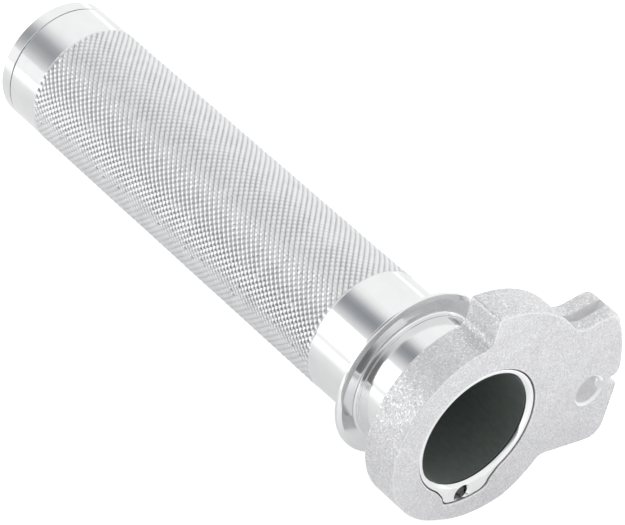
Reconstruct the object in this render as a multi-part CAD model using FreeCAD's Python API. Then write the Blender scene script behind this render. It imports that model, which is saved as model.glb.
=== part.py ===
import FreeCAD, Part
import math

# A motorcycle throttle tube with its cable cam.
# X runs along the tube and points outboard, Z is up, and -Y points to the rider.
# The origin is on the tube's axis, in the middle of the flange. Millimetres.

# Handlebar and bearing sleeve
BAR_RADIUS = 11.10                      # a standard 22.2 mm bar
SLEEVE_INNER = BAR_RADIUS + 0.05
SLEEVE_OUTER = 11.60
RUNNING_GAP = 0.05
SLEEVE_START = -16.70
SLEEVE_END = 90.0

# Tube, from the inboard end outwards
TUBE_BORE = SLEEVE_OUTER + RUNNING_GAP
TUBE_START = -17.60
MOUTH_RADIUS = 11.80                    # outer edge of the mouth's chamfer
LIP_RADIUS = 11.25                      # the bar passes it, the sleeve doesn't
LIP_CHAMFER_END = -17.05
LIP_END = -16.85
NECK_RADIUS = 12.45
SHOULDER_RADIUS = 12.75
SHOULDER_START = -1.45
FLANGE_START = -0.60
FLANGE_RADIUS = 16.30
FLANGE_FACE_RADIUS = 15.45              # where the inboard face ends and the edge slopes away
FLANGE_EDGE_START = -0.20
FLANGE_EDGE_END = 0.40
FLANGE_END = 0.60
LAND_RADIUS = 12.40
KNURL_RADIUS = 12.50
KNURL_START = 12.60
KNURL_END = 94.90
TUBE_END = 102.60

# End cap
SEAM_WIDTH = 0.20
SEAM_DEPTH = 0.45
CAP_END = 105.50
CAP_ROUNDING = 0.35
PLUG_START = 96.60
PLUG_RADIUS = TUBE_BORE - RUNNING_GAP
PLUG_CHAMFER = 0.40
PLUG_INNER = 9.20
CAP_WALL = 1.80

# O-ring in the cap's plug
ORING_SECTION = 0.62                    # radius of the rubber
ORING_RADIUS = 11.00                    # radius of its centre line
ORING_X = 99.40
ORING_GROOVE_WIDTH = 1.70
ORING_GROOVE_BOTTOM = 10.35

# Washer and circlip behind the sleeve
WASHER_START = SLEEVE_END + 0.15
WASHER_THICKNESS = 0.80
WASHER_OUTER = 11.60
WASHER_INNER = 9.00
CLIP_START = WASHER_START + WASHER_THICKNESS + 0.05
CLIP_THICKNESS = 1.00
CLIP_OUTER = 11.95
CLIP_INNER = 9.90
CLIP_GAP_DEGREES = 40.0
CLIP_EAR_RADIUS = 1.50
CLIP_EAR_HOLE = 0.60
CLIP_EAR_FROM_AXIS = 9.80
CLIP_EAR_DEGREES = 24.0                 # from the middle of the gap to an ear's centre
CLIP_GROOVE_GAP = 0.05

# Cable cam
CAM_START = -17.80
CAM_END = -10.30
CAM_THICKNESS = CAM_END - CAM_START
CAM_BORE = NECK_RADIUS
DISC_RADIUS = 18.25
BELLY_RADIUS = 20.40
LOBE_RADIUS = 24.00
JOINT_LINE_WIDTH = 0.22                 # relief round the spigot in the cam's front face
JOINT_LINE_DEPTH = 0.60

# Key on the spigot, under the axis, and the hole in it
KEY_RADIUS = 14.85
KEY_ROOT = 0.40                         # how far the key reaches into the spigot's wall
KEY_CLEARANCE = 0.12
KEY_HOLE_RADIUS = 1.35
KEY_HOLE_MOUTH = 1.45
KEY_HOLE_FROM_AXIS = 13.30
KEY_HOLE_ANGLE = -78.5
KEY_HOLE_DEPTH = 6.50
PIN_START = -15.40
PIN_CLEARANCE = 0.01

# Cable ends in the cam's lug
POCKET_RADIUS = 2.80
RETURN_POCKET = (-25.05, -5.60)
RETURN_POCKET_DEPTH = 5.00
RETURN_SLIT_WIDTH = 1.60
RETURN_SLIT_DEPTH = 1.50
RETURN_SLIT_REACH = 9.00                # from the pocket's centre out past the lug's end
RETURN_SLIT_DROP = 0.48                 # from the pocket's centre down to the slit's middle
POCKET_CHAMFER = 0.35
PULL_POCKET = (-26.00, 4.50)
PULL_POCKET_DEPTH = 5.60
PULL_SLOT_START = -15.22
PULL_SLOT_WIDTH = 1.95
PULL_SLOT_BOTTOM = 4.50
PULL_SLOT_RAMP = ((-26.40, 4.50), (-27.80, 5.30), (-29.00, 6.90), (-30.00, 8.60), (-31.00, 10.40))
PULL_SLOT_OPEN_END = -19.50

ORIGIN = FreeCAD.Vector(0, 0, 0)
X_AXIS = FreeCAD.Vector(1, 0, 0)
ABOVE_ALL = 12.0                        # higher than the top of the lug
OVERRUN = 0.50                          # how far a cutter passes the face it cuts


def turned(profile):
    """A solid turned about the X axis from a closed outline of (x, radius) corners."""
    corners = [FreeCAD.Vector(x, 0, radius) for x, radius in profile]
    face = Part.Face(Part.makePolygon(corners + corners[:1]))
    return face.revolve(ORIGIN, X_AXIS, 360)


def rod(x_start, x_end, radius, y=0.0, z=0.0):
    """A cylinder along X."""
    return Part.makeCylinder(radius, x_end - x_start, FreeCAD.Vector(x_start, y, z), X_AXIS)


def countersink(x_face, x_bottom, mouth_radius, hole_radius, y, z):
    """A cone that breaks the edge of a hole, from the face inwards."""
    direction = X_AXIS if x_bottom > x_face else X_AXIS * -1
    base = FreeCAD.Vector(x_face, y, z)
    return Part.makeCone(mouth_radius, hole_radius, abs(x_bottom - x_face), base, direction)


def block(x_range, y_range, z_range):
    """A box between the given limits."""
    low = FreeCAD.Vector(x_range[0], y_range[0], z_range[0])
    size = [limits[1] - limits[0] for limits in (x_range, y_range, z_range)]
    return Part.makeBox(size[0], size[1], size[2], low)


def polar(radius, degrees):
    """(y, z) of a point round the axis, from +Y towards +Z."""
    angle = math.radians(degrees)
    return (radius * math.cos(angle), radius * math.sin(angle))


def outline(start, steps, x):
    """A closed wire across X. A step is (end,) for a line or (via, end) for an arc."""
    edges = []
    here = start
    for step in steps:
        points = [FreeCAD.Vector(x, y, z) for y, z in (here,) + step]
        if len(step) == 1:
            edges.append(Part.LineSegment(*points).toShape())
        else:
            edges.append(Part.Arc(*points).toShape())
        here = step[-1]
    return Part.Wire(edges)


def key_solid(x_start, x_end, gap):
    """The key's shape, larger by gap all round. It reaches into the spigot's wall."""
    top = KEY_RADIUS + gap
    turn = math.degrees(gap / KEY_RADIUS)
    start = polar(NECK_RADIUS - KEY_ROOT, -42.0 + turn)
    steps = [
        (polar(NECK_RADIUS + gap, -45.5 + turn),),
        (polar(12.95 + gap, -53.5 + turn), polar(13.8 + gap, -59.6 + turn)),
        (polar(14.65 + gap, -62.6 + turn), polar(top, -66.0 + turn)),
        (polar(top, -80.0), polar(top, -95.0 - turn)),
        (polar(NECK_RADIUS + gap, -113.0 - turn),),
        (polar(NECK_RADIUS - KEY_ROOT, -115.0 - turn),),
        (polar(NECK_RADIUS - KEY_ROOT, -80.0), start),
    ]
    face = Part.Face(outline(start, steps, x_start))
    return face.extrude(X_AXIS * (x_end - x_start))


def throttle_tube():
    groove_start = CLIP_START - CLIP_GROOVE_GAP
    groove_end = CLIP_START + CLIP_THICKNESS + CLIP_GROOVE_GAP
    groove_radius = CLIP_OUTER + CLIP_GROOVE_GAP
    body = turned([
        (TUBE_START, MOUTH_RADIUS),
        (TUBE_START, NECK_RADIUS),
        (SHOULDER_START, NECK_RADIUS),
        (SHOULDER_START, SHOULDER_RADIUS),
        (FLANGE_START, SHOULDER_RADIUS),
        (FLANGE_START, FLANGE_FACE_RADIUS),
        (FLANGE_EDGE_START, FLANGE_RADIUS),
        (FLANGE_EDGE_END, FLANGE_RADIUS),
        (FLANGE_END, FLANGE_FACE_RADIUS),
        (FLANGE_END, LAND_RADIUS),
        (KNURL_START, LAND_RADIUS),
        (KNURL_START, KNURL_RADIUS),
        (KNURL_END, KNURL_RADIUS),
        (KNURL_END, LAND_RADIUS),
        (TUBE_END, LAND_RADIUS),
        (TUBE_END, TUBE_BORE),
        (groove_end, TUBE_BORE),
        (groove_end, groove_radius),
        (groove_start, groove_radius),
        (groove_start, TUBE_BORE),
        (LIP_END, TUBE_BORE),
        (LIP_END, LIP_RADIUS),
        (LIP_CHAMFER_END, LIP_RADIUS),
    ])
    key = key_solid(TUBE_START, CAM_END, 0.0)
    body = body.fuse(key).removeSplitter()
    y, z = polar(KEY_HOLE_FROM_AXIS, KEY_HOLE_ANGLE)
    hole = rod(TUBE_START - OVERRUN, TUBE_START + KEY_HOLE_DEPTH, KEY_HOLE_RADIUS, y, z)
    chamfer_depth = KEY_HOLE_MOUTH - KEY_HOLE_RADIUS
    edge = countersink(TUBE_START, TUBE_START + chamfer_depth, KEY_HOLE_MOUTH, KEY_HOLE_RADIUS, y, z)
    return body.cut(hole).cut(edge)


def cam_outline(x):
    """Round the cam: lobe, step, disc, belly, then the lug's underside, end and top."""
    step_top = polar(LOBE_RADIUS, 99.5)
    disc_top = polar(DISC_RADIUS, 94.5)
    belly_start = polar(BELLY_RADIUS, -107.0)
    belly_end = polar(BELLY_RADIUS, -132.0)
    lobe_start = polar(LOBE_RADIUS, 151.1)
    steps = [
        (polar(LOBE_RADIUS, 125.0), step_top),
        ((-2.85, 19.60),),
        ((-2.35, 18.65), disc_top),
        (polar(DISC_RADIUS, 15.0), polar(DISC_RADIUS, -65.0)),
        (polar(19.25, -87.0), belly_start),
        (polar(BELLY_RADIUS, -120.0), belly_end),
        ((-14.60, -14.90), (-15.70, -15.05)),
        ((-24.98, -17.73),),
        ((-27.35, -17.55), (-29.00, -15.80)),
        ((-31.42, -8.15),),
        ((-31.30, -7.15), (-30.60, -6.60)),
        ((-30.45, -5.60),),
        ((-31.65, -5.05), (-32.20, -3.80)),
        ((-32.33, 1.00), (-31.62, 6.40)),
        ((-31.02, 8.85), (-29.70, 9.85)),
        ((-24.65, 9.86),),
        ((-22.60, 10.30), lobe_start),
    ]
    return outline(lobe_start, steps, x)


def rounded_end(shape, x, radius):
    """The shape with its outer edge in the plane at x rounded."""
    edges = []
    for edge in shape.Edges:
        box = edge.BoundBox
        if abs(box.XMin - x) < 0.001 and abs(box.XMax - x) < 0.001:
            edges.append(edge)
    return shape.makeFillet(radius, edges)


def cable_cam():
    body = Part.Face(cam_outline(CAM_START)).extrude(X_AXIS * CAM_THICKNESS)
    bore = rod(CAM_START - OVERRUN, CAM_END + OVERRUN, CAM_BORE)
    joint_line = rod(CAM_START - OVERRUN, CAM_START + JOINT_LINE_DEPTH, CAM_BORE + JOINT_LINE_WIDTH)
    keyway = key_solid(CAM_START - OVERRUN, CAM_END + OVERRUN, KEY_CLEARANCE)
    keyway_edge = key_solid(CAM_START - OVERRUN, CAM_START + JOINT_LINE_DEPTH, JOINT_LINE_WIDTH)
    for cutter in (bore, joint_line, keyway, keyway_edge):
        body = body.cut(cutter)

    y, z = RETURN_POCKET
    pocket = rod(CAM_START - OVERRUN, CAM_START + RETURN_POCKET_DEPTH, POCKET_RADIUS, y, z)
    mouth = countersink(CAM_START, CAM_START + POCKET_CHAMFER,
                        POCKET_RADIUS + POCKET_CHAMFER, POCKET_RADIUS, y, z)
    slit_middle = z - RETURN_SLIT_DROP
    slit = block((CAM_START - OVERRUN, CAM_START + RETURN_SLIT_DEPTH), (y - RETURN_SLIT_REACH, y),
                 (slit_middle - RETURN_SLIT_WIDTH / 2, slit_middle + RETURN_SLIT_WIDTH / 2))
    body = body.cut(pocket).cut(mouth).cut(slit)

    y, z = PULL_POCKET
    pocket = rod(CAM_END - PULL_POCKET_DEPTH, CAM_END + OVERRUN, POCKET_RADIUS, y, z)
    mouth = countersink(CAM_END, CAM_END - POCKET_CHAMFER,
                        POCKET_RADIUS + POCKET_CHAMFER, POCKET_RADIUS, y, z)
    above = ((PULL_SLOT_RAMP[-1][0], ABOVE_ALL), (PULL_SLOT_OPEN_END, ABOVE_ALL))
    side = ((PULL_SLOT_OPEN_END, PULL_SLOT_BOTTOM),) + PULL_SLOT_RAMP + above
    corners = [FreeCAD.Vector(PULL_SLOT_START, y, z) for y, z in side]
    slot = Part.Face(Part.makePolygon(corners + corners[:1])).extrude(X_AXIS * PULL_SLOT_WIDTH)
    return body.cut(pocket).cut(mouth).cut(slot)


def cam_lock_pin():
    y, z = polar(KEY_HOLE_FROM_AXIS, KEY_HOLE_ANGLE)
    pin_end = TUBE_START + KEY_HOLE_DEPTH
    return rod(PIN_START, pin_end, KEY_HOLE_RADIUS - PIN_CLEARANCE, y, z)


def bar_sleeve():
    return rod(SLEEVE_START, SLEEVE_END, SLEEVE_OUTER).cut(
        rod(SLEEVE_START - OVERRUN, SLEEVE_END + OVERRUN, SLEEVE_INNER))


def thrust_washer():
    end = WASHER_START + WASHER_THICKNESS
    return rod(WASHER_START, end, WASHER_OUTER).cut(
        rod(WASHER_START - OVERRUN, end + OVERRUN, WASHER_INNER))


def sleeve_circlip():
    end = CLIP_START + CLIP_THICKNESS
    ring = rod(CLIP_START, end, CLIP_OUTER)
    ring = ring.cut(rod(CLIP_START - OVERRUN, end + OVERRUN, CLIP_INNER))
    half_gap = CLIP_GAP_DEGREES / 2
    far = CLIP_OUTER * 2
    left = polar(far, 90 + half_gap)
    right = polar(far, 90 - half_gap)
    wedge_wire = outline((0.0, 0.0), [(left,), (right,), ((0.0, 0.0),)], CLIP_START - OVERRUN)
    wedge = Part.Face(wedge_wire).extrude(X_AXIS * (CLIP_THICKNESS + 2 * OVERRUN))
    ring = ring.cut(wedge)
    for side in (-1, 1):
        y, z = polar(CLIP_EAR_FROM_AXIS, 90 + side * CLIP_EAR_DEGREES)
        ear = rod(CLIP_START, end, CLIP_EAR_RADIUS, y, z)
        hole = rod(CLIP_START - OVERRUN, end + OVERRUN, CLIP_EAR_HOLE, y, z)
        ring = ring.fuse(ear).cut(hole)
    return ring.removeSplitter()


def end_cap():
    seam_end = TUBE_END + SEAM_WIDTH
    groove_start = ORING_X - ORING_GROOVE_WIDTH / 2
    groove_end = ORING_X + ORING_GROOVE_WIDTH / 2
    body = turned([
        (PLUG_START, PLUG_INNER),
        (PLUG_START, PLUG_RADIUS - PLUG_CHAMFER),
        (PLUG_START + PLUG_CHAMFER, PLUG_RADIUS),
        (groove_start, PLUG_RADIUS),
        (groove_start, ORING_GROOVE_BOTTOM),
        (groove_end, ORING_GROOVE_BOTTOM),
        (groove_end, PLUG_RADIUS),
        (TUBE_END, PLUG_RADIUS),
        (TUBE_END, LAND_RADIUS - SEAM_DEPTH),
        (seam_end, LAND_RADIUS - SEAM_DEPTH),
        (seam_end, LAND_RADIUS),
        (CAP_END, LAND_RADIUS),
        (CAP_END, 0),
        (CAP_END - CAP_WALL, 0),
        (CAP_END - CAP_WALL, PLUG_INNER),
    ])
    return rounded_end(body, CAP_END, CAP_ROUNDING)


def end_cap_oring():
    return Part.makeTorus(ORING_RADIUS, ORING_SECTION, FreeCAD.Vector(ORING_X, 0, 0), X_AXIS)


PIECES = (throttle_tube, cable_cam, cam_lock_pin, bar_sleeve,
          thrust_washer, sleeve_circlip, end_cap, end_cap_oring)

for piece in PIECES:
    solid = piece()
    name = piece.__name__
    solid.exportStep("parts/" + name + ".step")
    print(name, len(solid.Solids), "solid", round(solid.Volume, 1), "mm3", solid.isValid())
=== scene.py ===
import math
import random

import bmesh
import bpy
import numpy as np
from mathutils import Matrix, Vector


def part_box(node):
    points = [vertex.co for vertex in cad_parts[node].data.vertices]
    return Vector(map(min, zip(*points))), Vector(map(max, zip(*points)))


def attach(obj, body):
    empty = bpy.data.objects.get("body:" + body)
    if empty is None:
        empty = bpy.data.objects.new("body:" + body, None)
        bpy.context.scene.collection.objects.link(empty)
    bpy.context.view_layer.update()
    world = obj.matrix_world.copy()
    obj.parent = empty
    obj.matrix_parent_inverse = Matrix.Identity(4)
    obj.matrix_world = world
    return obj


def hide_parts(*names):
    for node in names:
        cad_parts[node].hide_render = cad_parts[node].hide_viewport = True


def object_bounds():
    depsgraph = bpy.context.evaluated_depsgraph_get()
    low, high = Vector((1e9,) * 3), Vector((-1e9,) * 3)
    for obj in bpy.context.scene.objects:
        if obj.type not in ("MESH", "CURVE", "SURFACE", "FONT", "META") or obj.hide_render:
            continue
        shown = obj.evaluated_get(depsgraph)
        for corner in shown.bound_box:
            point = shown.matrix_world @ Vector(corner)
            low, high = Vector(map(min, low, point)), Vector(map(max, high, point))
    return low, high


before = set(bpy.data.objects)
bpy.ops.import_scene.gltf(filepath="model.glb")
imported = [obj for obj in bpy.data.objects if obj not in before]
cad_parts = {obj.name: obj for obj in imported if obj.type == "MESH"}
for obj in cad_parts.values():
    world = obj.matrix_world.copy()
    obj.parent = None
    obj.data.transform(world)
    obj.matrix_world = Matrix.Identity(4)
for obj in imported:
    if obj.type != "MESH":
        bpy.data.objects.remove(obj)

cad_low, cad_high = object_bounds()

# The object's own sizes are in millimetres, in the frame's axes, and go to metres in new_mesh().
# The stage's sizes are in metres.
MM = 0.001


def frame_span(node, axis):
    """A CAD node's lowest and highest value along an axis, in millimetres."""
    low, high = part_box(node)
    return low[axis] / MM, high[axis] / MM


# ---------------------------------------------------------------- driving sizes
TUBE_START, TUBE_END = frame_span("throttle_tube", 0)
CAM_START, CAM_END = frame_span("cable_cam", 0)
CAP_PLUG_START, CAP_END = frame_span("end_cap", 0)
SLEEVE_START = frame_span("bar_sleeve", 0)[0]
FLANGE_RADIUS = frame_span("throttle_tube", 1)[1]
LAND_RADIUS = frame_span("end_cap", 1)[1]
TUBE_WALL = 0.75                        # beside the cap's plug
TUBE_BORE = LAND_RADIUS - TUBE_WALL

NECK_RADIUS = 12.45
SHOULDER_RADIUS = 12.75
SHOULDER_START = -1.45
FLANGE_FACE_RADIUS = 15.45
FLANGE_START, FLANGE_END = -0.60, 0.60
FLANGE_EDGE_START, FLANGE_EDGE_END = -0.22, 0.38
SPIGOT_SPLIT = CAM_END - 0.2            # inside the cam, where the spigot meets the turned tube
MOUTH_RADIUS = 11.85
LIP_RADIUS = 11.25
LIP_CHAMFER_END = TUBE_START + 0.55
LIP_END = SLEEVE_START - 0.15

KNURL_START, KNURL_END = 12.60, 94.90
KNURL_RADIUS = 12.50
KNURL_STARTS = 58                       # diamonds round the barrel
KNURL_TOP = 0.32                        # size of a diamond's crown, as a share of its pitch
KNURL_TOP_SPREAD = 0.10                 # how much that differs from diamond to diamond, as a share
KNURL_CROWN = 0.025                     # how far the crown bulges
KNURL_WEAR = 0.03                       # the most that a diamond is worn down
CROSSING_DEPTH = 0.29                   # depth of the pits where two grooves cross
STEEP_GROOVE_DEPTH = 0.28               # the two families of grooves aren't rolled equally deep
FLAT_GROOVE_DEPTH = 0.12
KNURL_BRINK = 0.15                      # width of the step up to the knurl, at both of its ends
KNURL_RISE = 0.05                       # and its height over the plain band
AROUND = KNURL_STARTS * 4               # facets round every turned surface
TURNED_SHARP, CAST_SHARP = 30.0, 32.0   # degrees from which an edge is shaded as sharp

DISC_RADIUS, BELLY_RADIUS, LOBE_RADIUS = 18.25, 20.40, 24.00
OUTLINE_SPACING, KEY_SPACING = 0.25, 0.30
OUTER_EDGE_ROWS = 6                     # rows of faces that round the edges of the outer wall
INNER_EDGE_ROWS = 4                     # and of the wall round the spigot
KEY_RADIUS = 14.85
KEY_HOLE_FROM_AXIS, KEY_HOLE_ANGLE = 13.52, -78.0
KEY_HOLE_RADIUS, KEY_HOLE_FLARE, KEY_HOLE_DEPTH = 1.42, 0.34, 5.0
JOINT_LINE = 0.19                       # gap between the key and the cam
JOINT_SHIFT = (-0.10, -0.10)            # the cam's bore is a little off centre, so the gap is uneven

POCKET_RADIUS = 2.80
RETURN_POCKET, PULL_POCKET = (-25.10, -5.65), (-26.00, 4.50)
RETURN_POCKET_DEPTH, PULL_POCKET_DEPTH = 5.0, 5.6
RETURN_FLARE, PULL_FLARE = 0.42, 0.40
RETURN_SLIT_REACH, RETURN_SLIT_DEPTH = 9.0, 1.5
PULL_SLOT_X, PULL_SLOT_WIDTH = -14.25, 1.95
PULL_SLOT_OPEN_END, PULL_SLOT_BOTTOM = -19.5, 4.5
PULL_SLOT_RAMP = [(-26.4, PULL_SLOT_BOTTOM), (-27.8, 5.3), (-29.0, 6.9), (-30.0, 8.6), (-31.0, 10.4)]
ABOVE_LUG = 14.0

PLUG_GAP, PLUG_CHAMFER, PLUG_INNER = 0.05, 0.4, 9.2
ORING_GROOVE_START, ORING_GROOVE_END, ORING_GROOVE_BOTTOM = 98.55, 100.25, 10.35
SEAM_WIDTH, SEAM_DEPTH = 0.22, 0.45
CAP_WALL = 1.8
DISH_RADIUS, DISH_SLOPE, DISH_DEPTH = 6.0, 0.2, 0.25
NEARLY_ZERO = 0.01                      # radius of a turned piece's own centre


def polar(radius, degrees):
    """(y, z) of a point round the axis, from +Y towards +Z."""
    angle = math.radians(degrees)
    return (radius * math.cos(angle), radius * math.sin(angle))


# ---------------------------------------------------------------- outlines
def arc_points(start, via, end, spacing):
    """Points on the arc through three points, without its start."""
    (ax, ay), (bx, by), (cx, cy) = start, via, end
    d = 2 * (ax * (by - cy) + bx * (cy - ay) + cx * (ay - by))
    a2, b2, c2 = ax * ax + ay * ay, bx * bx + by * by, cx * cx + cy * cy
    ux = (a2 * (by - cy) + b2 * (cy - ay) + c2 * (ay - by)) / d
    uy = (a2 * (cx - bx) + b2 * (ax - cx) + c2 * (bx - ax)) / d
    radius = math.hypot(ax - ux, ay - uy)
    first = math.atan2(ay - uy, ax - ux)
    middle = (math.atan2(by - uy, bx - ux) - first) % (2 * math.pi)
    last = (math.atan2(cy - uy, cx - ux) - first) % (2 * math.pi)
    if middle > last:
        last -= 2 * math.pi
    count = max(2, round(abs(last) * radius / spacing))
    angles = [first + last * k / count for k in range(1, count + 1)]
    return [(ux + radius * math.cos(a), uy + radius * math.sin(a)) for a in angles]


def line_points(start, end, spacing):
    """Points along a line, without its start."""
    length = math.hypot(end[0] - start[0], end[1] - start[1])
    count = max(1, round(length / spacing))
    return [(start[0] + (end[0] - start[0]) * k / count, start[1] + (end[1] - start[1]) * k / count)
            for k in range(1, count + 1)]


def trace(start, steps, spacing):
    """Follows steps of (value, end) or (value, via, end), and returns points with each step's value."""
    points, values, here = [], [], start
    for step in steps:
        added = (line_points(here, step[-1], spacing) if len(step) == 2
                 else arc_points(here, step[1], step[-1], spacing))
        points += added
        values += [step[0]] * len(added)
        here = step[-1]
    return np.array(points), np.array(values, float)


def counterclockwise(points, values):
    """The outline and its values, turned round if it runs clockwise."""
    y, z = points[:, 0], points[:, 1]
    area = np.sum(y * np.roll(z, -1) - np.roll(y, -1) * z)
    return (points, values) if area > 0 else (points[::-1].copy(), values[::-1].copy())


def smoothed(array, times):
    """A closed run of values or points with its kinks eased."""
    for _ in range(times):
        array = array * 0.5 + (np.roll(array, 1, 0) + np.roll(array, -1, 0)) * 0.25
    return array


def inward_normals(points):
    """Unit normals into a counterclockwise outline."""
    along = np.roll(points, -1, 0) - np.roll(points, 1, 0)
    along /= np.linalg.norm(along, axis=1)[:, None]
    return np.stack([-along[:, 1], along[:, 0]], 1)


def tightest_radius(points):
    """How far each point may move inwards before the outline folds over itself."""
    normals = inward_normals(points)
    step = np.roll(points, -1, 0) - np.roll(points, 1, 0)
    turn = np.roll(normals, -1, 0) - np.roll(normals, 1, 0)
    bend = -np.sum(step * turn, 1) / np.maximum(np.sum(step * step, 1), 1e-9)
    return np.where(bend > 1e-3, 1 / np.maximum(bend, 1e-3), 1e3)


def key_and_ring(ring, gap, spacing):
    """Outline of the spigot with its key, larger by gap: the ring the long way round, then the key."""
    top = KEY_RADIUS + gap
    turn = math.degrees(gap / KEY_RADIUS)
    left = polar(ring, -45.5 + turn)
    right = polar(ring, -113.0 - turn)
    steps = [
        (0, polar(ring, 90.0), polar(ring, 200.0)),
        (0, polar(ring, 220.0), right),
        (1, polar(top - 1.35, -102.5 - turn)),
        (1, polar(top - 0.35, -98.5 - turn), polar(top, -91.5 - turn)),
        (1, polar(top, -80.0), polar(top, -66.0 + turn)),
        (1, polar(14.65 + gap, -62.6 + turn), polar(13.8 + gap, -59.6 + turn)),
        (1, polar(12.95 + gap, -53.5 + turn), left),
    ]
    points, values = trace(left, steps, spacing)
    return counterclockwise(points, values)[0]


# ---------------------------------------------------------------- meshes
def new_mesh(name, vertices, faces, material_of_face=None):
    """An object from points in millimetres."""
    mesh = bpy.data.meshes.new(name)
    mesh.from_pydata([(x * MM, y * MM, z * MM) for x, y, z in vertices], [], faces)
    if material_of_face is not None:
        mesh.polygons.foreach_set("material_index", material_of_face)
    mesh.update()
    piece = bpy.data.objects.new(name, mesh)
    bpy.context.scene.collection.objects.link(piece)
    return piece


def face_outwards(piece):
    """Makes a closed mesh's faces point outwards."""
    bm = bmesh.new()
    bm.from_mesh(piece.data)
    bmesh.ops.recalc_face_normals(bm, faces=bm.faces)
    bm.to_mesh(piece.data)
    bm.free()


def shade(piece, sharp_degrees):
    """Smooth shading with sharp edges kept, and flat faces kept flat."""
    mesh = piece.data
    mesh.polygons.foreach_set("use_smooth", [True] * len(mesh.polygons))
    mesh.set_sharp_from_angle(angle=math.radians(sharp_degrees))
    modifier = piece.modifiers.new("even_normals", "WEIGHTED_NORMAL")
    modifier.keep_sharp = True
    modifier.weight = 90


def fillet(before, corner, after, radius, pieces=5):
    """The corner of a profile as a small arc."""
    if radius <= 0:
        return [corner]
    c = np.array(corner, float)
    u = np.array(before, float) - c
    v = np.array(after, float) - c
    u /= np.linalg.norm(u)
    v /= np.linalg.norm(v)
    half = math.acos(max(-1.0, min(1.0, float(u @ v)))) / 2
    trim = radius / math.tan(half)
    middle = u + v
    centre = c + middle / np.linalg.norm(middle) * (radius / math.sin(half))
    via = centre + (c - centre) / np.linalg.norm(c - centre) * radius
    start, end = c + u * trim, c + v * trim
    arc = arc_points(tuple(start), tuple(via), tuple(end), math.dist(start, end) / pieces)
    return [tuple(start)] + arc


def soft_profile(corners):
    """(x, radius, rounding) corners of a closed profile, with each corner rounded."""
    out = []
    for k, (x, radius, rounding) in enumerate(corners):
        before = corners[k - 1][:2]
        after = corners[(k + 1) % len(corners)][:2]
        out += fillet(before, (x, radius), after, rounding)
    return out


def ring_of(x, radius, count):
    """Points of a circle about the axis."""
    return [(x, radius * math.cos(2 * math.pi * k / count), radius * math.sin(2 * math.pi * k / count))
            for k in range(count)]


def strip(near, far, count):
    """Faces between two closed rows of count points each, whose first indices are given."""
    return [(near + k, near + (k + 1) % count, far + (k + 1) % count, far + k) for k in range(count)]


def lathe(name, corners):
    """A closed turned piece."""
    profile = soft_profile(corners)
    vertices, faces = [], []
    for x, radius in profile:
        vertices += ring_of(x, radius, AROUND)
    rows = len(profile)
    for row in range(rows):
        faces += strip(row * AROUND, (row + 1) % rows * AROUND, AROUND)
    piece = new_mesh(name, vertices, faces)
    face_outwards(piece)
    return piece


def cut(piece, *cutters):
    """Takes the cutters out of the piece and removes them. New faces keep the cutters' materials."""
    for cutter in cutters:
        modifier = piece.modifiers.new("cut", "BOOLEAN")
        modifier.operation = "DIFFERENCE"
        modifier.solver = "EXACT"
        modifier.material_mode = "TRANSFER"
        modifier.object = cutter
    bpy.context.view_layer.update()
    graph = bpy.context.evaluated_depsgraph_get()
    mesh = bpy.data.meshes.new_from_object(piece.evaluated_get(graph))
    piece.modifiers.clear()
    old = piece.data
    piece.data = mesh
    bpy.data.meshes.remove(old)
    for cutter in cutters:
        bpy.data.objects.remove(cutter)


def fill_between(bm, loops):
    """Closes the flat face between an outer loop and the loops inside it."""
    edges = []
    for loop in loops:
        for k, vertex in enumerate(loop):
            edges.append(bm.edges.get((vertex, loop[(k + 1) % len(loop)]))
                         or bm.edges.new((vertex, loop[(k + 1) % len(loop)])))
    bmesh.ops.triangle_fill(bm, edges=edges, use_beauty=True, use_dissolve=False)


def slab(name, outer_rows, inner_rows, edge_rows=(0, 0)):
    """A closed plate across X. Each row is (x values, yz points), and rows run from front to back.

    The first and last edge_rows of each wall take the piece's second material, and the outer wall
    between them takes the third. Everything else takes the first.
    """
    bm = bmesh.new()
    walls = []
    for rows, edge, middle in zip((outer_rows, inner_rows), edge_rows, (2, 0)):
        made = []
        for xs, points in rows:
            xs = np.broadcast_to(xs, len(points))
            made.append([bm.verts.new((x * MM, y * MM, z * MM)) for x, (y, z) in zip(xs, points)])
        for row, (near, far) in enumerate(zip(made, made[1:])):
            on_edge = row < edge or row >= len(made) - 1 - edge
            for k in range(len(near)):
                n = (k + 1) % len(near)
                face = bm.faces.new((near[k], near[n], far[n], far[k]))
                face.material_index = 1 if on_edge else middle
        walls.append(made)
    for end in (0, -1):
        fill_between(bm, [walls[0][end], walls[1][end]])
    bmesh.ops.recalc_face_normals(bm, faces=bm.faces)
    mesh = bpy.data.meshes.new(name)
    bm.to_mesh(mesh)
    bm.free()
    piece = bpy.data.objects.new(name, mesh)
    bpy.context.scene.collection.objects.link(piece)
    return piece


def rounded_rows(points, x_front, x_back, front_rounding, back_rounding, sign, pieces, between):
    """Rows of an outline from front to back with its two edges rounded. sign is 1 outside, -1 in a hole."""
    normals = inward_normals(points) * sign
    front = np.broadcast_to(front_rounding, len(points)).astype(float)
    back = np.broadcast_to(back_rounding, len(points)).astype(float)

    def inset(rounding, a):
        return points + normals * (rounding * (1 - math.sin(a)))[:, None]

    angles = [math.pi / 2 * k / pieces for k in range(pieces + 1)]
    rows = [(x_front + front * (1 - math.cos(a)), inset(front, a)) for a in angles]
    for k in range(1, between + 1):
        share = k / (between + 1)
        rows.append(((x_front + front) * (1 - share) + (x_back - back) * share, points))
    rows += [(x_back - back * (1 - math.cos(a)), inset(back, a)) for a in reversed(angles)]
    return rows


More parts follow.
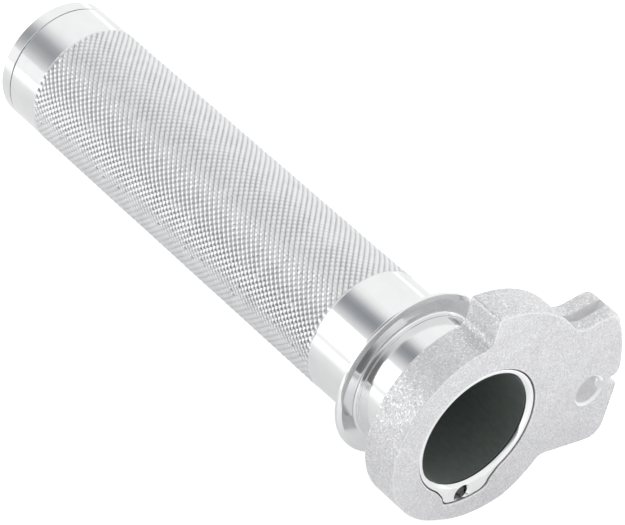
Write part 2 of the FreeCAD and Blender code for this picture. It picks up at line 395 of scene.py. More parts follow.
def flared_rod(name, x_face, x_bottom, radius, flare, centre):
    """A cutter for a hole with an eased mouth, from outside the face to its bottom."""
    count, mouth_pieces, overrun, chamfer = 64, 5, 1.0, 0.3
    inwards = 1 if x_bottom > x_face else -1
    profile = [(x_face - inwards * overrun, radius + flare)]
    for k in range(mouth_pieces + 1):
        a = math.pi / 2 * k / mouth_pieces
        profile.append((x_face + inwards * flare * math.sin(a), radius + flare * (1 - math.sin(a))))
    profile += [(x_bottom - inwards * chamfer, radius), (x_bottom, radius - chamfer)]
    vertices, faces = [], []
    for x, r in profile:
        vertices += [(x, centre[0] + y, centre[1] + z) for _, y, z in ring_of(x, r, count)]
    last = (len(profile) - 1) * count
    for row in range(0, last, count):
        faces += strip(row, row + count, count)
    faces.append(tuple(range(count)))
    faces.append(tuple(range(last, last + count)))
    piece = new_mesh(name, vertices, faces)
    face_outwards(piece)
    return piece


def prism(name, outline, x_low, x_high):
    """A cutter: a (y, z) outline between two values of x."""
    vertices = [(x, y, z) for x in (x_low, x_high) for y, z in outline]
    count = len(outline)
    faces = [tuple(range(count)), tuple(range(count, 2 * count))] + strip(0, count, count)
    piece = new_mesh(name, vertices, faces)
    face_outwards(piece)
    return piece


# ---------------------------------------------------------------- tube
def knurl_cells(vertices, faces, first_ring, last_ring):
    """Diamonds between two rings of 2 * KNURL_STARTS points each, whose first indices are given."""
    around = 2 * KNURL_STARTS
    pitch_around = 2 * math.pi / around
    columns = 2 * round((KNURL_END - KNURL_START) / (2 * math.pi * KNURL_RADIUS / KNURL_STARTS))
    step = (KNURL_END - KNURL_START) / columns
    dice = random.Random(5)
    crossing, middle = {}, {}

    def add(column, turn, depth):
        angle = turn * pitch_around
        radius = KNURL_RADIUS - depth
        vertices.append((KNURL_START + column * step, radius * math.cos(angle), radius * math.sin(angle)))
        return len(vertices) - 1

    for b in range(around):
        crossing[0, b] = first_ring + b
        crossing[columns, b] = last_ring + b
    for a in range(1, columns):
        for b in range(around):
            if (a + b) % 2:
                crossing[a, b] = add(a, b, CROSSING_DEPTH)

    def groove_middle(a, b, to_a, to_b):
        """The middle of the groove between two crossings: one family of grooves is deeper."""
        half = (a + to_a / 2, b + to_b / 2)
        key = (round(2 * half[0]), round(2 * half[1]) % (2 * around))
        if key not in middle:
            depth = STEEP_GROOVE_DEPTH if to_a * to_b > 0 else FLAT_GROOVE_DEPTH
            middle[key] = add(half[0], half[1], depth)
        return middle[key]

    for a in range(1, columns):
        for b in range(a % 2, around, 2):
            size = KNURL_TOP * dice.uniform(1 - KNURL_TOP_SPREAD, 1 + KNURL_TOP_SPREAD)
            low = KNURL_CROWN + dice.uniform(0.0, KNURL_WEAR)
            corners = [(-1, 0), (0, -1), (1, 0), (0, 1)]
            outer = [crossing[a + da, (b + db) % around] for da, db in corners]
            inner = [add(a + da * size, b + db * size, low) for da, db in corners]
            crown = add(a, b, low - KNURL_CROWN)
            for k in range(4):
                n = (k + 1) % 4
                (da, db), (na, nb) = corners[k], corners[n]
                between = groove_middle(a + da, b + db, na - da, nb - db)
                faces.append((inner[k], inner[n], crown))
                faces.append((outer[k], between, inner[k]))
                faces.append((between, inner[n], inner[k]))
                faces.append((between, outer[n], inner[n]))
    for a, beside in ((0, 1), (columns, columns - 1)):
        for b in range(around):
            if (beside + b) % 2:
                near, far = (b - 1) % around, (b + 1) % around
                for end, sign in ((near, -1), (far, 1)):
                    key = (a + beside, (2 * b + sign) % (2 * around))
                    beside_b = crossing[beside, b]
                    if key in middle:
                        faces.append((crossing[a, end], middle[key], beside_b, crossing[a, b]))
                    else:
                        faces.append((crossing[a, end], crossing[a, b], beside_b))


def turned_tube():
    """The tube from the cam to the cap: neck, flange, bands and knurl, as one closed mesh."""
    left = [
        (SPIGOT_SPLIT, TUBE_BORE, 0), (SPIGOT_SPLIT, NECK_RADIUS, 0),
        (SHOULDER_START, NECK_RADIUS, 0.10), (SHOULDER_START, SHOULDER_RADIUS, 0.12),
        (FLANGE_START, SHOULDER_RADIUS, 0.50), (FLANGE_START, FLANGE_FACE_RADIUS, 0.15),
        (FLANGE_EDGE_START, FLANGE_RADIUS, 0.18), (FLANGE_EDGE_END, FLANGE_RADIUS, 0.18),
        (FLANGE_END, FLANGE_FACE_RADIUS, 0.12), (FLANGE_END, LAND_RADIUS, 0.30),
        (KNURL_START - KNURL_BRINK, LAND_RADIUS, 0),
    ]
    right = [
        (KNURL_END + KNURL_BRINK, LAND_RADIUS, 0), (TUBE_END, LAND_RADIUS, 0.12),
        (TUBE_END, TUBE_BORE, 0.10),
    ]
    whole = soft_profile(left + right)
    split = next(k for k, (x, _) in enumerate(whole) if x > KNURL_START)
    vertices, faces = [], []
    for x, radius in whole:
        vertices += ring_of(x, radius, AROUND)
    rows = len(whole)
    for row in range(rows):
        if row == split - 1:
            continue
        faces += strip(row * AROUND, (row + 1) % rows * AROUND, AROUND)
    first_ring = len(vertices)
    vertices += ring_of(KNURL_START, LAND_RADIUS + KNURL_RISE, 2 * KNURL_STARTS)
    last_ring = len(vertices)
    vertices += ring_of(KNURL_END, LAND_RADIUS + KNURL_RISE, 2 * KNURL_STARTS)
    for coarse, fine in ((first_ring, (split - 1) * AROUND), (last_ring, split * AROUND)):
        for b in range(2 * KNURL_STARTS):
            n = (b + 1) % (2 * KNURL_STARTS)
            last = (2 * b + 2) % AROUND
            faces.append((coarse + b, coarse + n, fine + last, fine + 2 * b + 1, fine + 2 * b))
    turned_faces = len(faces)
    knurl_cells(vertices, faces, first_ring, last_ring)
    knurl_faces = len(faces) - turned_faces
    piece = new_mesh("tube_turned", vertices, faces, [0] * turned_faces + [1] * knurl_faces)
    face_outwards(piece)
    shade(piece, TURNED_SHARP)
    turned = piece.vertex_groups.new(name="turned")
    turned.add(list(range(first_ring)), 1.0, "REPLACE")
    piece.modifiers["even_normals"].vertex_group = "turned"
    return piece


def keyed_spigot(surface):
    """The tube's inboard end inside the cam, with its key, mouth and the hole in the key."""
    outer = smoothed(key_and_ring(NECK_RADIUS, 0.0, KEY_SPACING), 2)
    outer_rows = rounded_rows(outer, TUBE_START, SPIGOT_SPLIT, 0.12, 0.02, 1, OUTER_EDGE_ROWS, 1)
    mouth = [(TUBE_START, MOUTH_RADIUS), (TUBE_START + 0.04, MOUTH_RADIUS - 0.08),
             (LIP_CHAMFER_END - 0.1, LIP_RADIUS + 0.06), (LIP_CHAMFER_END, LIP_RADIUS),
             (LIP_END, LIP_RADIUS), (LIP_END, TUBE_BORE), (SPIGOT_SPLIT, TUBE_BORE)]
    inner_rows = [(x, np.array([p[1:] for p in ring_of(x, radius, AROUND)])) for x, radius in mouth]
    piece = slab("tube_spigot", outer_rows, inner_rows)
    piece.data.materials.append(surface)
    hole = flared_rod("key_hole_cutter", TUBE_START, TUBE_START + KEY_HOLE_DEPTH, KEY_HOLE_RADIUS,
                      KEY_HOLE_FLARE, polar(KEY_HOLE_FROM_AXIS, KEY_HOLE_ANGLE))
    hole.data.materials.append(surface)
    cut(piece, hole)
    shade(piece, TURNED_SHARP)
    return piece


# ---------------------------------------------------------------- cam
def cam_outline():
    """Outline of the cam, and how far its cast edges are rounded at each point."""
    cast, crisp, soft = 0.32, 0.18, 0.85
    step_top = polar(LOBE_RADIUS, 99.5)
    disc_top = polar(DISC_RADIUS, 94.5)
    belly_start = polar(BELLY_RADIUS, -107.0)
    belly_end = polar(BELLY_RADIUS, -132.0)
    lobe_start = polar(LOBE_RADIUS, 151.1)
    steps = [
        (cast, polar(LOBE_RADIUS, 125.0), step_top),
        (cast, (-2.85, 19.60)),
        (crisp, (-2.35, 18.65), disc_top),
        (crisp, polar(DISC_RADIUS, 15.0), polar(DISC_RADIUS, -65.0)),
        (crisp, polar(19.25, -87.0), belly_start),
        (crisp, polar(BELLY_RADIUS, -120.0), belly_end),
        (cast, (-14.60, -14.90), (-15.70, -15.05)),
        (cast, (-24.98, -17.73)),
        (cast, (-27.35, -17.55), (-29.00, -15.80)),
        (cast, (-31.42, -8.15)),
        (cast, (-31.30, -7.15), (-30.60, -6.60)),
        (cast, (-30.45, -5.60)),
        (cast, (-31.65, -5.05), (-32.20, -3.80)),
        (cast, (-32.33, 1.00), (-31.62, 6.40)),
        (soft, (-31.02, 8.85), (-29.70, 9.85)),
        (cast, (-24.65, 9.86)),
        (cast, (-22.60, 10.30), lobe_start),
    ]
    points, rounding = counterclockwise(*trace(lobe_start, steps, OUTLINE_SPACING))
    points = smoothed(points, 6)
    rounding = smoothed(np.minimum(smoothed(rounding, 12), 0.7 * tightest_radius(points)), 6)
    return points, rounding


def cable_cam(surfaces, pocket_painted_light):
    """The casting round the spigot, with the lug that holds the ends of both cables."""
    outline, rounding = cam_outline()
    outer_rows = rounded_rows(outline, CAM_START, CAM_END, rounding, rounding * 0.8, 1, OUTER_EDGE_ROWS, 4)
    relief = smoothed(key_and_ring(NECK_RADIUS + JOINT_LINE, JOINT_LINE, KEY_SPACING), 2)
    relief += np.array(JOINT_SHIFT)
    inner_rows = rounded_rows(relief, CAM_START, CAM_END, 0.26, 0.10, -1, INNER_EDGE_ROWS, 1)
    piece = slab("cam_casting", outer_rows, inner_rows, (OUTER_EDGE_ROWS, INNER_EDGE_ROWS))
    for surface in surfaces:
        piece.data.materials.append(surface)

    pocket = flared_rod("return_pocket_cutter", CAM_START, CAM_START + RETURN_POCKET_DEPTH,
                        POCKET_RADIUS, RETURN_FLARE, RETURN_POCKET)
    y, z = RETURN_POCKET
    slit_end = y - RETURN_SLIT_REACH
    slit_side = [(slit_end, z - 0.95), (y, z - 1.35), (y, z + 0.45), (slit_end, z + 0.35)]
    slit = prism("return_slit_cutter", slit_side, CAM_START - 1.0, CAM_START + RETURN_SLIT_DEPTH)

    pull_pocket = flared_rod("pull_pocket_cutter", CAM_END, CAM_END - PULL_POCKET_DEPTH,
                             POCKET_RADIUS, PULL_FLARE, PULL_POCKET)
    slot_side = [(PULL_SLOT_OPEN_END, ABOVE_LUG), (PULL_SLOT_OPEN_END, PULL_SLOT_BOTTOM)]
    slot_side += PULL_SLOT_RAMP + [(-31.4, ABOVE_LUG)]
    half = PULL_SLOT_WIDTH / 2
    slot = prism("pull_slot_cutter", slot_side, PULL_SLOT_X - half, PULL_SLOT_X + half)
    cutters = (pocket, slit, pull_pocket, slot)
    # The cutters carry the pockets' painted light onto the faces that they cut.
    for cutter in cutters:
        cutter.data.materials.append(pocket_painted_light)
    cut(piece, *cutters)
    shade(piece, CAST_SHARP)
    return piece


# ---------------------------------------------------------------- cap
def turned_cap():
    """The push-in cap: plug with the O-ring's groove, seam, and an outer face with a shallow dish."""
    plug = TUBE_BORE - PLUG_GAP
    seam_bottom, seam_end = LAND_RADIUS - SEAM_DEPTH, TUBE_END + SEAM_WIDTH
    dish, inside = CAP_END - DISH_DEPTH, CAP_END - CAP_WALL
    corners = [
        (CAP_PLUG_START, PLUG_INNER, 0.1), (CAP_PLUG_START, plug - PLUG_CHAMFER, 0.1),
        (CAP_PLUG_START + PLUG_CHAMFER, plug, 0.1),
        (ORING_GROOVE_START, plug, 0), (ORING_GROOVE_START, ORING_GROOVE_BOTTOM, 0),
        (ORING_GROOVE_END, ORING_GROOVE_BOTTOM, 0), (ORING_GROOVE_END, plug, 0),
        (TUBE_END, plug, 0), (TUBE_END, seam_bottom, 0), (seam_end, seam_bottom, 0),
        (seam_end, LAND_RADIUS, 0.12), (CAP_END, LAND_RADIUS, 0.42),
        (CAP_END, DISH_RADIUS, 0), (dish, DISH_RADIUS - DISH_SLOPE, 0.05), (dish, NEARLY_ZERO, 0),
        (inside, NEARLY_ZERO, 0), (inside, PLUG_INNER, 0.3),
    ]
    piece = lathe("end_cap_turned", corners)
    shade(piece, TURNED_SHARP)
    return piece


# ---------------------------------------------------------------- materials
FINE_RELIEF = 0.00002                   # depths of small relief, in metres
RUBBER_RELIEF = 0.00003
CAST_RELIEF = 0.00005
WHITE = (1.0, 1.0, 1.0)


def grey(level):
    """A colour without hue."""
    return (level, level, level)


def add_node(tree, kind, **settings):
    """A new node with these settings."""
    node = tree.nodes.new(kind)
    for key, value in settings.items():
        setattr(node, key, value)
    return node


def map_range(tree, value, limits, interpolation="LINEAR"):
    """The value moved from one range to another: limits are the old low and high, then the new ones."""
    node = add_node(tree, "ShaderNodeMapRange", interpolation_type=interpolation)
    for socket, number in zip(("From Min", "From Max", "To Min", "To Max"), limits):
        node.inputs[socket].default_value = number
    tree.links.new(value, node.inputs["Value"])
    return node.outputs["Result"]


class Nodes:
    """A material's nodes, with short ways to add and join them."""

    def __init__(self, name):
        self.material = bpy.data.materials.new(name)
        self.material.use_nodes = True
        self.tree = self.material.node_tree
        self.shader = next(n for n in self.tree.nodes if n.type == "BSDF_PRINCIPLED")
        coordinates = self.add("ShaderNodeTexCoord")
        self.place = self.add("ShaderNodeMapping")
        self.place.inputs["Scale"].default_value = (1 / MM, 1 / MM, 1 / MM)
        self.join(coordinates.outputs["Object"], self.place.inputs["Vector"])
        self.millimetres = self.place.outputs["Vector"]

    def add(self, kind, **settings):
        return add_node(self.tree, kind, **settings)

    def join(self, output, socket):
        self.tree.links.new(output, socket)

    def stretched(self, scale):
        """The place in millimetres, stretched along each axis."""
        node = self.add("ShaderNodeMapping")
        node.inputs["Scale"].default_value = scale
        self.join(self.millimetres, node.inputs["Vector"])
        return node.outputs["Vector"]

    def noise(self, scale, detail=2.0, roughness=0.5, vector=None):
        """Soft noise by the place in millimetres, or by another vector."""
        node = self.add("ShaderNodeTexNoise")
        node.inputs["Scale"].default_value = scale
        node.inputs["Detail"].default_value = detail
        node.inputs["Roughness"].default_value = roughness
        self.join(vector or self.millimetres, node.inputs["Vector"])
        return node.outputs["Fac"]

    def grains(self, scale):
        """A random value for each small cell."""
        node = self.add("ShaderNodeTexVoronoi")
        node.inputs["Scale"].default_value = scale
        self.join(self.millimetres, node.inputs["Vector"])
        split = self.add("ShaderNodeSeparateColor")
        self.join(node.outputs["Color"], split.inputs["Color"])
        return split.outputs["Red"]

    def ramp(self, value, stops):
        """A colour for the value, from stops of (position, colour)."""
        node = self.add("ShaderNodeValToRGB")
        elements = node.color_ramp.elements
        while len(elements) < len(stops):
            elements.new(0.5)
        for element, (position, colour) in zip(elements, stops):
            element.position = position
            element.color = (*colour, 1.0)
        self.join(value, node.inputs["Fac"])
        return node.outputs["Color"]

    def spread(self, value, *limits):
        """The value moved from one range to another."""
        return map_range(self.tree, value, limits)

    def split_place(self):
        """The X, Y and Z of the place in millimetres."""
        parts = self.add("ShaderNodeSeparateXYZ")
        self.join(self.millimetres, parts.inputs["Vector"])
        return parts.outputs

    def size_of(self, value):
        """The value without its sign."""
        node = self.add("ShaderNodeMath", operation="ABSOLUTE")
        self.join(value, node.inputs[0])
        return node.outputs["Value"]

    def mixed(self, share, first, second, blend="MIX"):
        """Two colours mixed. Each of the three may be a number, a colour or another node's output."""
        node = self.add("ShaderNodeMix", data_type="RGBA", blend_type=blend)
        for key, value in (("Factor", share), ("A", first), ("B", second)):
            kind = "VALUE" if key == "Factor" else "RGBA"
            socket = next(s for s in node.inputs if s.name == key and s.type == kind)
            if isinstance(value, (int, float)):
                socket.default_value = value
            elif isinstance(value, tuple):
                socket.default_value = (*value, 1.0)
            else:
                self.join(value, socket)
        return next(s for s in node.outputs if s.type == "RGBA")

    def bump(self, height, strength, distance, after=None):
        """A normal tilted by the height, on top of another one where that is given."""
        node = self.add("ShaderNodeBump")
        node.inputs["Strength"].default_value = strength
        node.inputs["Distance"].default_value = distance
        self.join(height, node.inputs["Height"])
        if after is not None:
            self.join(after, node.inputs["Normal"])
        return node.outputs["Normal"]

    def set(self, **values):
        """Sets the shader's sockets, by their names with _ for a space."""
        for key, value in values.items():
            socket = self.shader.inputs[key.replace("_", " ")]
            if isinstance(value, tuple):
                socket.default_value = (*value, 1.0)
            elif isinstance(value, (int, float)):
                socket.default_value = value
            else:
                self.join(value, socket)

    def cover(self, share, colour, strength):
        """Makes the surface a glowing grey that covers only a share of what lies behind it."""
        clear = self.add("ShaderNodeBsdfTransparent")
        glow = self.add("ShaderNodeEmission")
        glow.inputs["Color"].default_value = (*colour, 1.0)
        glow.inputs["Strength"].default_value = strength
        either = self.add("ShaderNodeMixShader")
        self.join(share, either.inputs["Fac"])
        self.join(clear.outputs["BSDF"], either.inputs[1])
        self.join(glow.outputs["Emission"], either.inputs[2])
        out = next(n for n in self.tree.nodes if n.type == "OUTPUT_MATERIAL")
        self.join(either.outputs["Shader"], out.inputs["Surface"])


def polished_aluminium():
    """Turned and polished: fine lines round the axis, and a faint haze."""
    m = Nodes("polished_aluminium")
    lines = m.noise(1.0, 3.0, 0.6, m.stretched((9.0, 0.02, 0.02)))
    haze = m.noise(0.22, 3.0)
    tint = m.ramp(haze, [(0.3, (0.785, 0.79, 0.795)), (0.7, (0.825, 0.828, 0.83))])
    m.set(Base_Color=tint, Metallic=1.0, Roughness=m.spread(lines, 0.3, 0.7, 0.07, 0.13),
          Normal=m.bump(lines, 0.10, FINE_RELIEF))
    return m.material


def knurled_aluminium():
    """Painted shade that darkens the bottom of the grooves, with bright, worn tops in patches."""
    m = Nodes("knurled_aluminium")
    place = m.split_place()
    across = m.add("ShaderNodeCombineXYZ")
    m.join(place["Y"], across.inputs["Y"])
    m.join(place["Z"], across.inputs["Z"])
    length = m.add("ShaderNodeVectorMath", operation="LENGTH")
    m.join(across.outputs["Vector"], length.inputs[0])
    height = m.spread(length.outputs["Value"], KNURL_RADIUS - CROSSING_DEPTH, KNURL_RADIUS, 0.0, 1.0)
    # Painted shade: the colour darkens towards the bottom of the grooves.
    groove_painted_shade = m.ramp(height, [(0.0, (0.38, 0.385, 0.395)), (0.45, (0.64, 0.647, 0.657)),
                                (0.9, (0.81, 0.815, 0.825))])
    wear = m.noise(0.35, 4.0)
    tint = m.mixed(m.spread(wear, 0.35, 0.75, 0.0, 0.35), groove_painted_shade, (0.90, 0.905, 0.91))
    scratch = m.noise(14.0, 3.0)
    m.set(Base_Color=tint, Metallic=1.0, Roughness=m.spread(scratch, 0.3, 0.7, 0.24, 0.36),
          Normal=m.bump(scratch, 0.25, FINE_RELIEF))
    return m.material


def cast_aluminium(name, shades, roughness, specks, relief=0.55, metallic=0.85):
    """Tumbled cast metal: clouded, with fine grains that differ in tone, gloss and height."""
    m = Nodes(name)
    cloud = m.noise(0.30, 4.0)
    grain = m.grains(4.2)
    fine = m.noise(7.0, 4.0, 0.65)
    base = m.ramp(cloud, [(0.3, shades[0]), (0.7, shades[1])])
    speck = m.ramp(grain, [(0.0, grey(specks[0])), (0.2, WHITE), (0.7, WHITE), (1.0, grey(specks[1]))])
    tint = m.mixed(1.0, base, speck, "MULTIPLY")
    pits = m.bump(fine, 0.5, CAST_RELIEF)
    gloss = m.spread(grain, 0.0, 1.0, roughness[1], roughness[0])
    m.set(Base_Color=tint, Metallic=metallic, Roughness=gloss,
          Normal=m.bump(grain, relief, CAST_RELIEF, pits))
    return m.material


def bearing_polymer():
    """Dark moulded plastic with faint streaks along the bore."""
    m = Nodes("bearing_polymer")
    mould = m.noise(1.6, 3.0, 0.5, m.stretched((0.4, 1.0, 1.0)))
    tint = m.ramp(mould, [(0.3, (0.125, 0.146, 0.136)), (0.7, (0.155, 0.178, 0.167))])
    m.set(Base_Color=tint, Roughness=m.spread(mould, 0.3, 0.7, 0.50, 0.62),
          Normal=m.bump(mould, 0.15, FINE_RELIEF))
    return m.material


def dark_steel():
    """Blackened spring steel, a little uneven."""
    m = Nodes("dark_steel")
    grain = m.noise(5.0, 3.0)
    tint = m.ramp(grain, [(0.3, (0.13, 0.13, 0.135)), (0.7, (0.20, 0.20, 0.205))])
    m.set(Base_Color=tint, Metallic=1.0, Roughness=m.spread(grain, 0.3, 0.7, 0.35, 0.5),
          Normal=m.bump(grain, 0.2, FINE_RELIEF))
    return m.material


def seal_rubber():
    """Matt black rubber."""
    m = Nodes("seal_rubber")
    grain = m.noise(4.0, 3.0)
    tint = m.ramp(grain, [(0.3, grey(0.018)), (0.7, grey(0.032))])
    m.set(Base_Color=tint, Roughness=m.spread(grain, 0.3, 0.7, 0.6, 0.75),
          Normal=m.bump(grain, 0.3, RUBBER_RELIEF))
    return m.material


def finish_with(piece, *materials):
    """Gives a piece its materials, replacing any that it had."""
    slots = piece.data.materials
    index = np.zeros(len(piece.data.polygons), np.int32)
    piece.data.polygons.foreach_get("material_index", index)
    slots.clear()
    for material in materials:
        slots.append(material)
    piece.data.polygons.foreach_set("material_index", np.minimum(index, len(materials) - 1))


polished, knurled = polished_aluminium(), knurled_aluminium()
cast = cast_aluminium("cast_aluminium", ((0.595, 0.595, 0.607), (0.64, 0.64, 0.652)),
                      roughness=(0.38, 0.62), specks=(0.86, 1.20), relief=0.40)
# Outer wall of the cam: a lighter copy of the cast metal with brighter specks, painted sparkle.
cast_rim_painted_sparkle = cast_aluminium("cast_aluminium_rim_painted_sparkle", ((0.64, 0.64, 0.65), (0.69, 0.69, 0.70)),
                          roughness=(0.38, 0.62), specks=(0.86, 1.34), relief=0.70)
# Rounded edges of the cam: a lighter, glossier copy of the cast metal, partly tumbled wear and partly a
# painted highlight.
cast_edge_worn_and_highlit = cast_aluminium("cast_aluminium_worn_and_highlit", ((0.68, 0.68, 0.69), (0.75, 0.75, 0.755)),
                           roughness=(0.35, 0.52), specks=(0.86, 1.18))
# Walls of the pockets and slots: a much lighter, less metallic copy of the cast metal, painted light in the
# hollows.
cast_inside_painted_light = cast_aluminium("cast_aluminium_inside_painted_light", ((0.88, 0.88, 0.89), (0.94, 0.94, 0.945)),
                             roughness=(0.45, 0.60), specks=(0.92, 1.05), relief=0.40, metallic=0.45)
polymer, steel, rubber = bearing_polymer(), dark_steel(), seal_rubber()

tube = turned_tube()
finish_with(tube, polished, knurled)
spigot = keyed_spigot(polished)
cam = cable_cam((cast, cast_edge_worn_and_highlit, cast_rim_painted_sparkle), cast_inside_painted_light)
cap = turned_cap()
finish_with(cap, polished)
for piece, body, node, slot in (
    (tube, "throttle", "throttle_tube", "turned_aluminium"),
    (spigot, "throttle", "throttle_tube", "turned_aluminium"),
    (cam, "throttle", "cable_cam", "cast_aluminium"),
    (cap, "cap", "end_cap", "turned_aluminium"),
):
    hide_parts(node)
    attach(piece, body)
for node, material in (
    ("bar_sleeve", polymer), ("thrust_washer", polymer), ("cam_lock_pin", steel),
    ("sleeve_circlip", steel), ("end_cap_oring", rubber),
):
    finish_with(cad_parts[node], material)


# ---------------------------------------------------------------- stage, lights and camera
GROUND_CLEARANCE = 0.1 * MM
FLOOR_HALF_SIZE = 6
FLOOR_GLOW = 0.52
FILM_GAP = 0.0006                       # height of the films over the floor
FILM_BRIGHTNESS = 0.25
CARD_CENTRE, CARD_TARGET = Vector((0.355, 0.158, 0.357)), Vector((0.05, 0.0, 0.0))
CARD_ALONG = (0.712, 0.546, -0.442)
CARD_HALF_LENGTH, CARD_HALF_WIDTH, CARD_BRIGHTNESS = 0.30, 0.24, 0.28
SOFT_BOX_PLACE, SOFT_BOX_TARGET = Vector((0.26, 0.44, 0.23)), Vector((0.05, 0.0, 0.02))
SOFT_BOX_WIDTH, SOFT_BOX_HEIGHT, SOFT_BOX_RADIANCE = 0.32, 0.34, 1.25
SKY, BAND_DARKNESS, CORNER_DARKNESS = 1.08, 0.25, 0.80
BAND_SLOPE, BAND_OFFSET, BAND_HALF_WIDTH = 0.20, 0.50, 0.48
CORNER_DIRECTION = Vector((-0.30, 0.93, 0.15)).normalized()


def plane(name, centre, along, facing, half_length, half_width):
    """A flat rectangle of the stage, in metres. Its length runs along one direction, and it faces another."""
    mesh = bpy.data.meshes.new(name)
    mesh.from_pydata([(-half_length, -half_width, 0), (half_length, -half_width, 0),
                      (half_length, half_width, 0), (-half_length, half_width, 0)], [], [(0, 1, 2, 3)])
    piece = bpy.data.objects.new(name, mesh)
    bpy.context.scene.collection.objects.link(piece)
    x = Vector(along).normalized()
    z = Vector(facing).normalized()
    y = z.cross(x).normalized()
    piece.matrix_world = Matrix((
        (x.x, y.x, z.x, centre[0]), (x.y, y.y, z.y, centre[1]), (x.z, y.z, z.z, centre[2]), (0, 0, 0, 1)))
    return piece


def floor_material():
    """Plain and pale, with a little light of its own."""
    material = bpy.data.materials.new("pale_floor")
    material.use_nodes = True
    shader = next(n for n in material.node_tree.nodes if n.type == "BSDF_PRINCIPLED")
    shader.inputs["Base Color"].default_value = (0.94, 0.94, 0.94, 1.0)
    shader.inputs["Roughness"].default_value = 0.9
    shader.inputs["Specular IOR Level"].default_value = 0.0
    shader.inputs["Emission Color"].default_value = (*WHITE, 1.0)
    shader.inputs["Emission Strength"].default_value = FLOOR_GLOW
    return material


def card_material():
    """A blue-grey card that fades out to its long edges, so that polished metal shows a soft band."""
    m = Nodes("grey_card")
    place = m.split_place()
    across = m.spread(m.size_of(place["Y"]), 0.0, CARD_HALF_WIDTH / MM, 0.0, 1.0)
    share = m.ramp(across, [(0.0, WHITE), (0.22, grey(0.85)), (0.45, grey(0.42)), (0.70, grey(0.12)),
                            (1.0, grey(0.0))])
    half_length = CARD_HALF_LENGTH / MM
    along = m.ramp(m.spread(place["X"], -half_length, half_length, 0.0, 1.0),
                   [(0.0, grey(0.95)), (0.45, grey(0.95)), (1.0, grey(0.72))])
    m.cover(m.mixed(1.0, share, along, "MULTIPLY"), (0.93, 0.99, 1.06), CARD_BRIGHTNESS)
    return m.material


def painted_shade_film_material(name, half_length, half_width, cover, shares, fade_from):
    """A thin grey film of painted shade over the table: how much it covers, across its width and towards its
    ends.
    """
    m = Nodes(name)
    place = m.split_place()
    across = m.spread(place["Y"], -half_width / MM, half_width / MM, 0.0, 1.0)
    covered = m.ramp(across, [(point, grey(cover * share)) for point, share in shares])
    along = m.spread(m.size_of(place["X"]), half_length / MM * fade_from, half_length / MM, 1.0, 0.0)
    m.cover(m.mixed(1.0, covered, along, "MULTIPLY"), WHITE, FILM_BRIGHTNESS)
    return m.material


def lay_painted_shade_film(name, centre, along, half_length, half_width, cover, shares, fade_from):
    """Lays a film of painted shade just over the floor, for reflections only: it casts no shadow, and is
    unseen by the camera.
    """
    film = plane(name, (*centre, floor_height + FILM_GAP), (*along, 0), (0, 0, 1), half_length, half_width)
    film.data.materials.append(painted_shade_film_material(name, half_length, half_width, cover, shares, fade_from))
    for seen_by in ("camera", "shadow", "diffuse"):
        setattr(film, "visible_" + seen_by, False)


floor_height = cad_low.z - GROUND_CLEARANCE
floor = plane("pale_floor", (0, 0, floor_height), (1, 0, 0), (0, 0, 1), FLOOR_HALF_SIZE, FLOOR_HALF_SIZE)
floor.data.materials.append(floor_material())

card = plane("grey_card", CARD_CENTRE, CARD_ALONG, CARD_TARGET - CARD_CENTRE,
             CARD_HALF_LENGTH, CARD_HALF_WIDTH)
card.data.materials.append(card_material())
card.visible_camera = False
card.visible_shadow = False

# Painted shade: grey films that darken the floor in reflections, standing in for the shade beside the tube
# and a dark room in front of it.
lay_painted_shade_film("shade_beside_tube", (0.10, 0.034), (1, 0), 0.17, 0.30, cover=0.46, fade_from=0.6, shares=(
    (0.0, 0.0), (0.15, 0.70), (0.42, 0.75), (0.50, 1.0), (0.56, 0.85), (0.62, 0.35), (1.0, 0.0)))
lay_painted_shade_film("shade_in_front", (-0.08, 0.595), (0.5, 0.87), 0.45, 0.35, cover=0.60, fade_from=0.85, shares=(
    (0.0, 0.0), (0.12, 1.0), (0.85, 1.0), (1.0, 0.0)))


def area_light(name, position, target, width, height, radiance):
    """A soft box that looks that bright in a mirror."""
    light = bpy.data.lights.new(name, "AREA")
    light.shape = "RECTANGLE"
    light.size, light.size_y = width, height
    light.energy = radiance * math.pi * width * height
    lamp = bpy.data.objects.new(name, light)
    bpy.context.scene.collection.objects.link(lamp)
    lamp.location = position
    lamp.rotation_euler = (target - position).to_track_quat("-Z", "Y").to_euler()
    lamp.visible_camera = False


area_light("soft_box", SOFT_BOX_PLACE, SOFT_BOX_TARGET,
           SOFT_BOX_WIDTH, SOFT_BOX_HEIGHT, SOFT_BOX_RADIANCE)


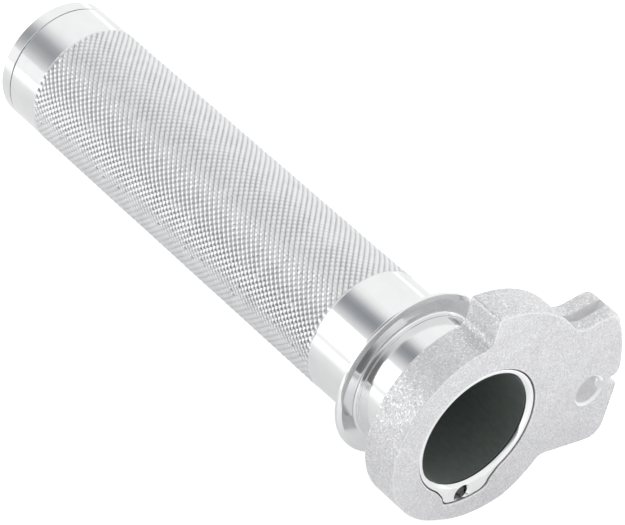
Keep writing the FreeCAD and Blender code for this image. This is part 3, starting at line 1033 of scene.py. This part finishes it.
def studio_world():
    """A pale, even studio with a darker band overhead, and a darker corner in front of the object."""
    world = bpy.data.worlds.new("studio")
    bpy.context.scene.world = world
    world.use_nodes = True
    tree = world.node_tree
    background = next(n for n in tree.nodes if n.type == "BACKGROUND")
    background.inputs["Color"].default_value = (*WHITE, 1.0)

    def math_of(operation, *values):
        node = add_node(tree, "ShaderNodeMath", operation=operation)
        for socket, value in zip(node.inputs, values):
            if isinstance(value, (int, float)):
                socket.default_value = value
            else:
                tree.links.new(value, socket)
        return node.outputs["Value"]

    def step(value, *limits):
        return map_range(tree, value, limits, "SMOOTHSTEP")

    def darkened(level, where, amount):
        return math_of("MULTIPLY", level, math_of("SUBTRACT", 1.0, math_of("MULTIPLY", where, amount)))

    direction = add_node(tree, "ShaderNodeTexCoord").outputs["Generated"]
    parts = add_node(tree, "ShaderNodeSeparateXYZ")
    tree.links.new(direction, parts.inputs["Vector"])
    x, y, z = parts.outputs
    band_middle = math_of("MULTIPLY_ADD", x, BAND_SLOPE, BAND_OFFSET)
    off_band = math_of("ABSOLUTE", math_of("SUBTRACT", y, band_middle))
    band = step(off_band, 0.0, BAND_HALF_WIDTH, 1.0, 0.0)
    band = math_of("MULTIPLY", band, step(z, 0.30, 0.75, 0.0, 1.0))
    band = math_of("MULTIPLY", band, step(x, 0.08, 0.35, 1.0, 0.0))
    towards_corner = add_node(tree, "ShaderNodeVectorMath", operation="DOT_PRODUCT")
    towards_corner.inputs[1].default_value = CORNER_DIRECTION
    tree.links.new(direction, towards_corner.inputs[0])
    corner = step(towards_corner.outputs["Value"], 0.62, 0.90, 0.0, 1.0)
    level = darkened(darkened(SKY, band, BAND_DARKNESS), corner, CORNER_DARKNESS)
    tree.links.new(level, background.inputs["Strength"])


studio_world()
bpy.context.scene.view_settings.view_transform = "Standard"

CAMERA_AZIMUTH, CAMERA_ELEVATION = -127.852, 43.124
CAMERA_DISTANCE = 0.604
CAMERA_TARGET = Vector((0.01514, 0.00947, 0.02002))
CAMERA_LENS = 207.33
azimuth, elevation = math.radians(CAMERA_AZIMUTH), math.radians(CAMERA_ELEVATION)
back = Vector((math.sin(azimuth) * math.cos(elevation), -math.cos(azimuth) * math.cos(elevation),
               math.sin(elevation)))
camera = bpy.data.objects.new("camera", bpy.data.cameras.new("camera"))
bpy.context.scene.collection.objects.link(camera)
camera.data.lens = CAMERA_LENS
camera.data.sensor_width = 36.0
camera.data.clip_start, camera.data.clip_end = 0.01, 50.0
camera.location = CAMERA_TARGET + back * CAMERA_DISTANCE
camera.rotation_mode = "QUATERNION"
camera.rotation_quaternion = (-back).to_track_quat("-Z", "Y")
bpy.context.scene.camera = camera
